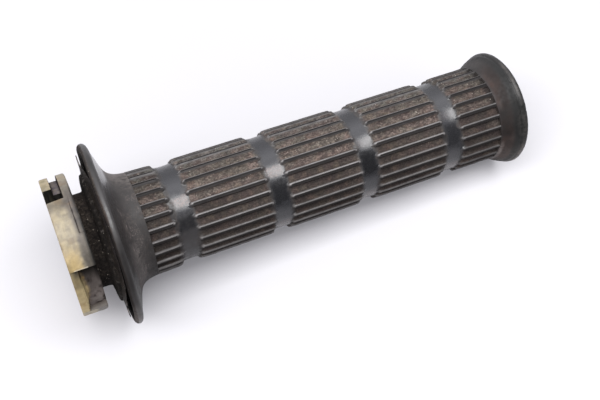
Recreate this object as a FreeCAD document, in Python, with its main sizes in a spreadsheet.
import FreeCAD, Part
import Sketcher
import math
import os

# Motorcycle throttle grip: a nylon throttle tube with its cable drum, and the
# ribbed rubber grip that is moulded round it.
# Frame: +X runs along the handlebar bore from the inboard drum face to the
# closed outboard end, +Z is up, the origin is the bore axis on the drum's end
# face.  Angles are measured about the bore from -Y (0 deg) over +Z (90 deg)
# to +Y (180 deg).  Millimetres and degrees.

# Driving sizes.  *_dia and *_rad are measured from the bore axis; *_start,
# *_end, *_front, *_face and the like are places along X.
SIZES = [
    # tube
    ("bar_bore_dia", 22.5), ("sleeve_dia", 25.5), ("tube_length", 149.0),
    ("drum_dia", 43.0), ("drum_width", 7.5),
    ("neck_dia", 29.0), ("neck_end", 11.3), ("neck_fillet", 0.8),
    ("collar_dia", 39.2), ("collar_face_dia", 37.6), ("collar_end", 12.3),
    ("collar_rim_width", 0.6),
    ("disc_dia", 51.2), ("disc_end", 12.9), ("hub_dia", 41.6), ("hub_end", 13.6),
    # outer reach of every cut into the drum, clear of its rim
    ("cutter_rad", 24.0),
    # cable groove and nipple pocket
    ("groove_start", 2.6), ("groove_width", 2.3), ("groove_floor_dia", 40.0),
    ("groove_from", 109.7), ("groove_sweep", 150.0),
    ("nipple_angle", 105.2), ("nipple_width", 5.0), ("nipple_depth", 4.9),
    ("nipple_centre_rad", 18.2),
    # lowered rim, stop recess and rim step
    ("low_rim_dia", 41.6), ("low_rim_from", 40.9), ("low_rim_sweep", 81.0),
    ("recess_start", 2.0), ("recess_floor_dia", 38.4),
    ("recess_from", 40.9), ("recess_sweep", 49.5),
    ("step_start", 6.2), ("step_floor_dia", 42.2),
    ("step_from", 104.4), ("step_sweep", 37.0),
    # keys between the sleeve and the rubber; key_root is their depth in the sleeve
    ("key_width", 2.4), ("key_dia", 26.9), ("key_root", 0.5), ("key_start", 20.0),
    ("key_length", 126.0), ("key_count", 4),
    # rubber flange and the trumpet behind it
    ("flange_dia", 56.6), ("flange_front", 16.1), ("flange_bevel_width", 0.6),
    ("flange_bevel_height", 3.3), ("flange_foot", 18.25), ("flange_foot_dia", 40.0),
    ("foot_bevel_width", 0.9), ("trumpet_dia", 32.5), ("bead_radius", 1.2),
    ("trumpet_radius", 3.6),
    # ribbed blocks, the bands between them and the ramps at their ends
    ("rib_dia", 32.0), ("band_dia", 29.8), ("band_mid_dia", 29.5),
    ("first_block", 24.4), ("first_band", 33.0), ("band_width", 5.0),
    ("band_pitch", 30.0), ("ramp_short", 0.5), ("ramp_long", 1.8),
    ("ramp_dia", 31.2), ("last_step", 142.5),
    # flare and closed end
    ("flare_neck_dia", 32.6), ("flare_waist", 144.2), ("flare_waist_dia", 33.4),
    ("flare_rim", 149.15), ("flare_rim_dia", 38.2), ("flare_lip_radius", 0.8),
    ("lip_end", 150.75), ("lip_taper", 0.35), ("grip_length", 151.45),
    ("lip_face_dia", 34.0), ("dish_dia", 30.0), ("dish_bevel", 1.0),
    ("dish_face", 150.75),
    # pockets between the ribs; the half sizes are angles
    ("rib_count", 26), ("pocket_floor_dia", 29.8), ("pocket_top_dia", 34.0),
    ("pocket_centre", 83.077), ("pocket_floor_half", 3.95),
    ("pocket_top_half", 5.1),
]
BAND_COUNT = 4


# ---------------------------------------------------------------- sizes
class Size(float):
    """A number that also carries the sheet expression it comes from."""

    def __new__(cls, value, text):
        made = super().__new__(cls, value)
        made.text = text
        return made

    def __add__(self, other):
        return Size(float(self) + float(other), joined(self, "+", other))

    def __sub__(self, other):
        return Size(float(self) - float(other), joined(self, "-", other))

    def __rsub__(self, other):
        return Size(float(other) - float(self), joined(other, "-", self))

    def __mul__(self, other):
        return Size(float(self) * float(other), joined(self, "*", other))

    def __truediv__(self, other):
        return Size(float(self) / float(other), joined(self, "/", other))


def joined(left, sign, right):
    """Expression text of two operands, either of them a Size or a plain number."""
    texts = [getattr(operand, "text", repr(operand)) for operand in (left, right)]
    return "(%s %s %s)" % (texts[0], sign, texts[1])


def cosine(angle):
    return Size(math.cos(math.radians(angle)), "cos(%s)" % angle.text)


def sine(angle):
    return Size(math.sin(math.radians(angle)), "sin(%s)" % angle.text)


class SizeTable:
    """Writes the driving sizes to the sheet and offers each as an attribute."""

    def __init__(self, sheet):
        for row, (name, value) in enumerate(SIZES, 1):
            cell = "B%d" % row
            sheet.set("A%d" % row, name)
            sheet.set(cell, repr(value))
            sheet.setAlias(cell, name)
            setattr(self, name, Size(value, "Sizes." + name))


doc = FreeCAD.newDocument("throttle_grip")
size = SizeTable(doc.addObject("Spreadsheet::Sheet", "Sizes"))
doc.recompute()


# ---------------------------------------------------------------- sketches
def origin_feature(body, role):
    for feature in body.Origin.OriginFeatures:
        if feature.Role == role:
            return feature
    raise RuntimeError("no origin feature " + role)


def new_sketch(body, name, plane):
    sketch = body.newObject("Sketcher::SketchObject", name)
    sketch.AttachmentSupport = [(origin_feature(body, plane), "")]
    sketch.MapMode = "FlatFace"
    return sketch


def dimension(sketch, label, kind, parts, value):
    """Adds a named dimension that follows the sheet."""
    index = sketch.addConstraint(Sketcher.Constraint(kind, *parts, float(value)))
    sketch.renameConstraint(index, label)
    sketch.setExpression("Constraints." + label, value.text)


def polygon(body, name, plane, corners):
    """Closed sketch with every corner dimensioned from the origin."""
    sketch = new_sketch(body, name, plane)
    count = len(corners)
    points = [FreeCAD.Vector(float(x), float(y), 0) for x, y in corners]
    for i in range(count):
        sketch.addGeometry(Part.LineSegment(points[i], points[(i + 1) % count]), False)
    for i in range(count):
        sketch.addConstraint(Sketcher.Constraint("Coincident", i, 2, (i + 1) % count, 1))
    for i, (x, y) in enumerate(corners):
        # cross_axis is the sketch axis on which the coordinate is zero
        for letter, value, cross_axis in (("X", x, -2), ("Y", y, -1)):
            if abs(value) < 1e-9:
                sketch.addConstraint(
                    Sketcher.Constraint("PointOnObject", i, 1, cross_axis))
            else:
                dimension(sketch, "corner%d%s" % (i, letter.lower()),
                          "Distance" + letter, (-1, 1, i, 1), value)
    return sketch


def turn_to(sketch, axis, angle):
    """Turns a sketch about the bore so that its upward direction points at the
    angle; axis is the bore's direction in the sketch's own frame."""
    sketch.setExpression(
        "AttachmentOffset",
        "placement(vector(0; 0; 0); rotation(vector(%s); %s))" % (axis, (90 - angle).text))


def shift_to(sketch, x):
    """Moves a YZ sketch along the bore."""
    sketch.setExpression(".AttachmentOffset.Base.z", x.text)


# ---------------------------------------------------------------- features
def revolution(body, name, sketch):
    feature = body.newObject("PartDesign::Revolution", name)
    feature.Profile = sketch
    feature.ReferenceAxis = (sketch, ["H_Axis"])
    feature.Angle = 360.0
    doc.recompute()


def finish_cut(body, feature, before, least):
    """Recomputes a cut and turns it round if it takes away less than least."""
    doc.recompute()
    if before - body.Shape.Volume < least:
        feature.Reversed = not feature.Reversed
        doc.recompute()
    if before - body.Shape.Volume < least:
        raise RuntimeError(feature.Name + " cuts nothing")
    return feature


def groove(body, name, sketch, sweep, backward, least):
    before = body.Shape.Volume
    feature = body.newObject("PartDesign::Groove", name)
    feature.Profile = sketch
    feature.ReferenceAxis = (sketch, ["H_Axis"])
    feature.setExpression("Angle", sweep.text)
    feature.Reversed = backward
    return finish_cut(body, feature, before, least)


def pocket(body, name, sketch, length, least):
    """Pocket cut from the sketch towards +X."""
    before = body.Shape.Volume
    feature = body.newObject("PartDesign::Pocket", name)
    feature.Profile = sketch
    feature.setExpression("Length", length.text)
    feature.Reversed = True
    return finish_cut(body, feature, before, least)


def polar_pattern(body, name, originals, count):
    feature = body.newObject("PartDesign::PolarPattern", name)
    feature.Originals = originals
    feature.Axis = (origin_feature(body, "X_Axis"), [""])
    feature.Angle = 360.0
    feature.setExpression("Occurrences", count.text)
    body.Tip = feature
    doc.recompute()


def fillet_rings(body, name, rings, radius):
    """Fillets the circular edges at the given (x, radius) pairs."""
    base = body.Tip
    names = []
    for number, edge in enumerate(base.Shape.Edges, 1):
        circle = edge.Curve
        if isinstance(circle, Part.Circle) and any(
                abs(circle.Center.x - x) < 1e-4 and abs(circle.Radius - ring_rad) < 1e-4
                for x, ring_rad in rings):
            names.append("Edge%d" % number)
    feature = body.newObject("PartDesign::Fillet", name)
    feature.Base = (base, names)
    feature.setExpression("Radius", radius.text)
    body.Tip = feature
    doc.recompute()


def key_section(body, name):
    """Cross-section of the key above the bore, for the key and for its slot."""
    side = size.key_width / 2
    root = size.sleeve_dia / 2 - size.key_root
    top = size.key_dia / 2
    sketch = polygon(body, name, "YZ_Plane",
                     [(0 - side, root), (side, root), (side, top), (0 - side, top)])
    shift_to(sketch, size.key_start)
    return sketch


# ---------------------------------------------------------------- throttle_tube
def cut_drum_rim(tube):
    """Cuts that run part of the way round the drum."""
    drum_end = size.drum_width
    cuts = [
        # name, x from, x to, floor diameter, start angle, sweep, backward, least volume
        ("CableGroove", size.groove_start, size.groove_start + size.groove_width,
         size.groove_floor_dia, size.groove_from, size.groove_sweep, False, 50.0),
        ("LowRim", 0, drum_end,
         size.low_rim_dia, size.low_rim_from, size.low_rim_sweep, True, 50.0),
        # lets the housing's stop run between its two end faces
        ("StopRecess", size.recess_start, drum_end,
         size.recess_floor_dia, size.recess_from, size.recess_sweep, True, 50.0),
        # shallow step along the drum's outboard corner
        ("RimStep", size.step_start, drum_end,
         size.step_floor_dia, size.step_from, size.step_sweep, True, 2.0),
    ]
    for name, x_from, x_to, floor_dia, angle, sweep, backward, least in cuts:
        floor = floor_dia / 2
        sketch = polygon(tube, name + "Section", "XZ_Plane", [
            (x_from, floor), (x_from, size.cutter_rad),
            (x_to, size.cutter_rad), (x_to, floor),
        ])
        turn_to(sketch, "1; 0; 0", angle)
        groove(tube, name, sketch, sweep, backward, least)


def cut_nipple_pocket(tube):
    """Pocket for the cable's barrel nipple, open to the end face and the rim."""
    sketch = new_sketch(tube, "NippleSection", "YZ_Plane")
    turn_to(sketch, "0; 0; 1", size.nipple_angle)
    side = float(size.nipple_width / 2)
    centre = float(size.nipple_centre_rad)
    top = float(size.cutter_rad)
    # 0: left side, 1: top, 2: right side, 3: round floor
    corners = [FreeCAD.Vector(x, y, 0) for x, y in
               ((-side, centre), (-side, top), (side, top), (side, centre))]
    for i in range(3):
        sketch.addGeometry(Part.LineSegment(corners[i], corners[i + 1]), False)
    circle = Part.Circle(FreeCAD.Vector(0, centre, 0), FreeCAD.Vector(0, 0, 1), side)
    sketch.addGeometry(Part.ArcOfCircle(circle, math.pi, 2 * math.pi), False)
    for constraint in (("Coincident", 0, 2, 1, 1), ("Coincident", 1, 2, 2, 1),
                       ("Tangent", 0, 1, 3, 1), ("Tangent", 2, 2, 3, 2),
                       ("Vertical", 0), ("Vertical", 2), ("Horizontal", 1),
                       ("PointOnObject", 3, 3, -2)):
        sketch.addConstraint(Sketcher.Constraint(*constraint))
    dimension(sketch, "centre", "DistanceY", (-1, 1, 3, 3), size.nipple_centre_rad)
    dimension(sketch, "top", "DistanceY", (-1, 1, 1, 1), size.cutter_rad)
    dimension(sketch, "half_width", "Radius", (3,), size.nipple_width / 2)
    pocket(tube, "NipplePocket", sketch, size.nipple_depth, 40.0)


def build_tube():
    tube = doc.addObject("PartDesign::Body", "throttle_tube")
    # one turned section: drum, neck, collar, thin disc and its hub, sleeve
    section = polygon(tube, "TubeSection", "XZ_Plane", [
        (0, size.bar_bore_dia / 2),
        (0, size.drum_dia / 2),
        (size.drum_width, size.drum_dia / 2),
        (size.drum_width, size.neck_dia / 2),
        (size.neck_end, size.neck_dia / 2),
        (size.neck_end, size.collar_face_dia / 2),
        (size.collar_end - size.collar_rim_width, size.collar_dia / 2),
        (size.collar_end, size.collar_dia / 2),
        (size.collar_end, size.disc_dia / 2),
        (size.disc_end, size.disc_dia / 2),
        (size.disc_end, size.hub_dia / 2),
        (size.hub_end, size.hub_dia / 2),
        (size.hub_end, size.sleeve_dia / 2),
        (size.tube_length, size.sleeve_dia / 2),
        (size.tube_length, size.bar_bore_dia / 2),
    ])
    revolution(tube, "TubeTurned", section)
    cut_drum_rim(tube)
    cut_nipple_pocket(tube)

    # keys along the sleeve that stop the rubber from slipping
    section = key_section(tube, "KeySection")
    key = tube.newObject("PartDesign::Pad", "Key")
    key.Profile = section
    key.setExpression("Length", size.key_length.text)
    doc.recompute()
    polar_pattern(tube, "Keys", [key], size.key_count)

    # where the neck meets the collar
    fillet_rings(tube, "NeckFillet", [(size.neck_end, size.neck_dia / 2)],
                 size.neck_fillet)
    return tube


# ---------------------------------------------------------------- rubber_grip
def grip_outline(blocks):
    """Section corners: flange, ribbed blocks with bands between, flare, dished end."""
    outline = [
        (size.hub_end, size.sleeve_dia / 2),
        (size.hub_end, size.flange_dia / 2),
        (size.flange_front, size.flange_dia / 2),
        (size.flange_front + size.flange_bevel_width,
         size.flange_dia / 2 - size.flange_bevel_height),
        (size.flange_foot, size.flange_foot_dia / 2),
        (size.flange_foot + size.foot_bevel_width, size.trumpet_dia / 2),
        (size.first_block, size.trumpet_dia / 2),
    ]
    for i, (x_from, x_to) in enumerate(blocks):
        if i > 0:
            outline += [
                (x_from, size.band_dia / 2),
                (x_from + size.ramp_short, size.ramp_dia / 2),
                (x_from + size.ramp_long, size.rib_dia / 2),
            ]
        if i < BAND_COUNT:
            outline += [
                (x_to - size.ramp_long, size.rib_dia / 2),
                (x_to - size.ramp_short, size.ramp_dia / 2),
                (x_to, size.band_dia / 2),
                (x_to + size.band_width / 2, size.band_mid_dia / 2),
            ]
    outline += [
        (size.last_step, size.flare_neck_dia / 2),
        (size.flare_waist, size.flare_waist_dia / 2),
        (size.flare_rim, size.flare_rim_dia / 2),
        (size.lip_end, size.flare_rim_dia / 2 - size.lip_taper),
        (size.grip_length, size.lip_face_dia / 2),
        (size.grip_length, size.dish_dia / 2),
        (size.dish_face, size.dish_dia / 2 - size.dish_bevel),
        (size.dish_face, 0),
        (size.tube_length, 0),
        (size.tube_length, size.sleeve_dia / 2),
    ]
    return outline


def cut_rib_pockets(grip, blocks):
    """One pocket per block between two ribs, then all of them round the bore."""
    floor_rad = size.pocket_floor_dia / 2
    top_rad = size.pocket_top_dia / 2
    centre = size.pocket_centre
    corners = [
        (0 - rad * cosine(angle), rad * sine(angle))
        for rad, angle in ((floor_rad, centre - size.pocket_floor_half),
                           (floor_rad, centre + size.pocket_floor_half),
                           (top_rad, centre + size.pocket_top_half),
                           (top_rad, centre - size.pocket_top_half))
    ]
    pockets = []
    for number, (x_from, x_to) in enumerate(blocks, 1):
        sketch = polygon(grip, "PocketSection%d" % number, "YZ_Plane", corners)
        shift_to(sketch, x_from)
        pockets.append(pocket(grip, "RibPocket%d" % number, sketch, x_to - x_from, 10.0))
    polar_pattern(grip, "Ribs", pockets, size.rib_count)


def build_grip():
    grip = doc.addObject("PartDesign::Body", "rubber_grip")
    band_starts = [size.first_band + size.band_pitch * i for i in range(BAND_COUNT)]
    block_starts = [size.first_block] + [x + size.band_width for x in band_starts]
    blocks = list(zip(block_starts, band_starts + [size.last_step]))
    section = polygon(grip, "GripSection", "XZ_Plane", grip_outline(blocks))
    revolution(grip, "GripTurned", section)

    # the slots take the tube's keys; they are patterned after the ribs
    section = key_section(grip, "KeySlotSection")
    slot = pocket(grip, "KeySlot", section, size.key_length, 50.0)
    cut_rib_pockets(grip, blocks)
    polar_pattern(grip, "KeySlots", [slot], size.key_count)

    flange_rad = size.flange_dia / 2
    fillet_rings(grip, "FlangeBead",
                 [(size.hub_end, flange_rad), (size.flange_front, flange_rad)],
                 size.bead_radius)
    fillet_rings(grip, "TrumpetRoot",
                 [(size.flange_foot + size.foot_bevel_width, size.trumpet_dia / 2)],
                 size.trumpet_radius)
    fillet_rings(grip, "FlareLip", [(size.flare_rim, size.flare_rim_dia / 2)],
                 size.flare_lip_radius)
    return grip


# ---------------------------------------------------------------- build and write
bodies = [build_tube(), build_grip()]

for obj in doc.Objects:
    bad = [state for state in obj.State if state in ("Invalid", "Error")]
    if bad:
        raise RuntimeError(obj.Name + " is " + ",".join(bad))

os.makedirs("parts", exist_ok=True)
for body in bodies:
    shape = body.Shape
    if shape.isNull() or not shape.isValid() or len(shape.Solids) != 1:
        raise RuntimeError(body.Label + " is not one valid solid")
    shape.exportStep("parts/%s.step" % body.Label)
